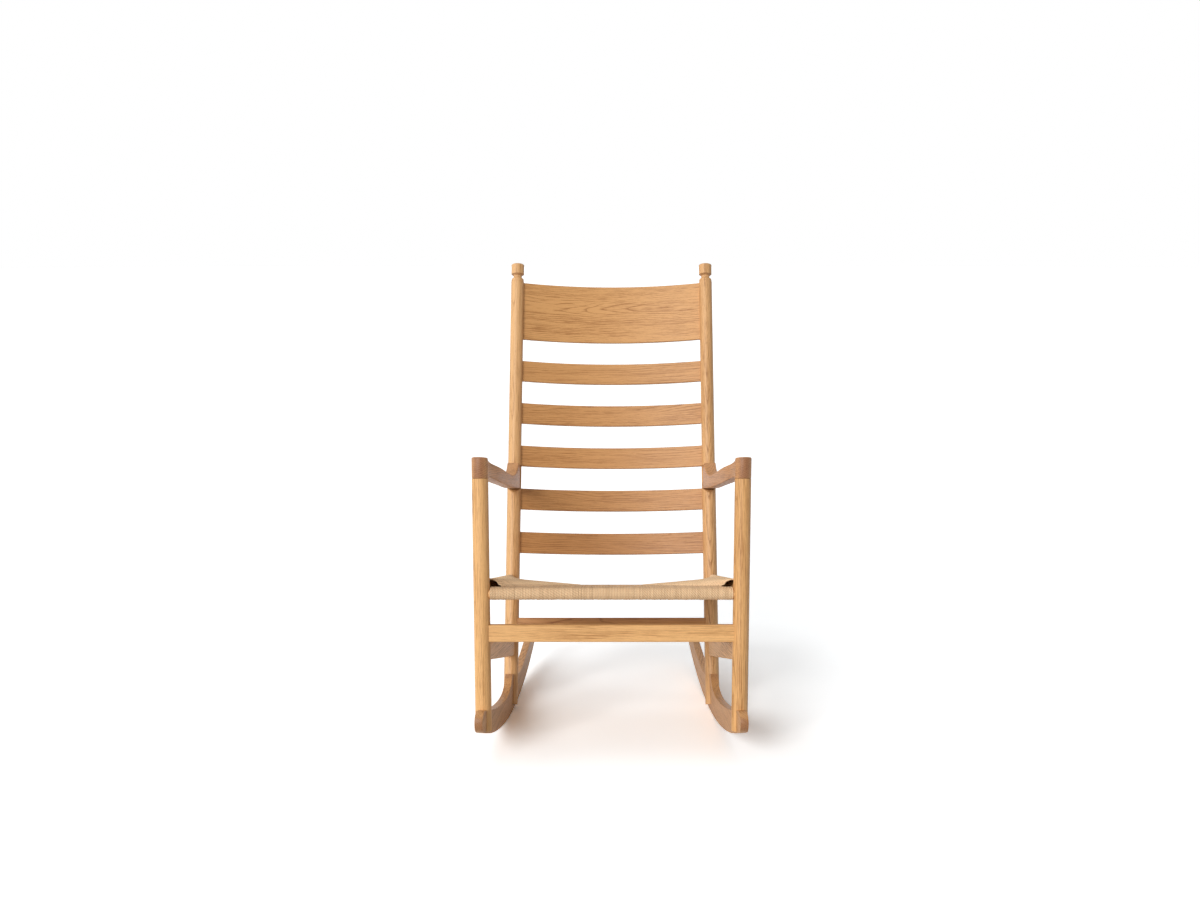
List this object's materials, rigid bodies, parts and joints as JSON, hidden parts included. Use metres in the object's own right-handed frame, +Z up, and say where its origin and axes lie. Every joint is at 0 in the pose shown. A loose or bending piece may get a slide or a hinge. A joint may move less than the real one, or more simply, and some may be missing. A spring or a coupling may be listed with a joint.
{
  "type": "rocking chair",
  "caption": "Ladder-back rocking chair of oiled oak with a woven paper-cord seat, bowed back slats, open arms and board rockers.",
  "frame": {"origin": "on the floor, under the middle of the chair's overall length and width, with the chair standing at rest on its rockers", "axes": "the sitter faces -Y, +X is to the sitter's left, +Z is up"},
  "size_m": [0.6168, 0.8357, 1.0884],
  "materials": {
    "oak": "oiled",
    "arm_oak": "oiled",
    "rocker_oak": "oiled",
    "paper_cord": "woven"
  },
  "bodies": {
    "root": {"left_rocker": "rocker_oak", "right_rocker": "rocker_oak", "left_rear_post": "oak", "right_rear_post": "oak", "left_front_leg": "oak", "right_front_leg": "oak", "left_arm": "arm_oak", "right_arm": "arm_oak", "crest_slat": "oak", "ladder_slat_1": "oak", "ladder_slat_2": "oak", "ladder_slat_3": "oak", "ladder_slat_4": "oak", "ladder_slat_5": "oak", "front_stretcher": "oak", "rear_stretcher": "oak", "left_stretcher": "oak", "right_stretcher": "oak", "front_seat_rail": "oak", "rear_seat_rail": "oak", "left_seat_rail": "oak", "right_seat_rail": "oak", "woven_seat": "paper_cord"}
  },
  "joints": []
}
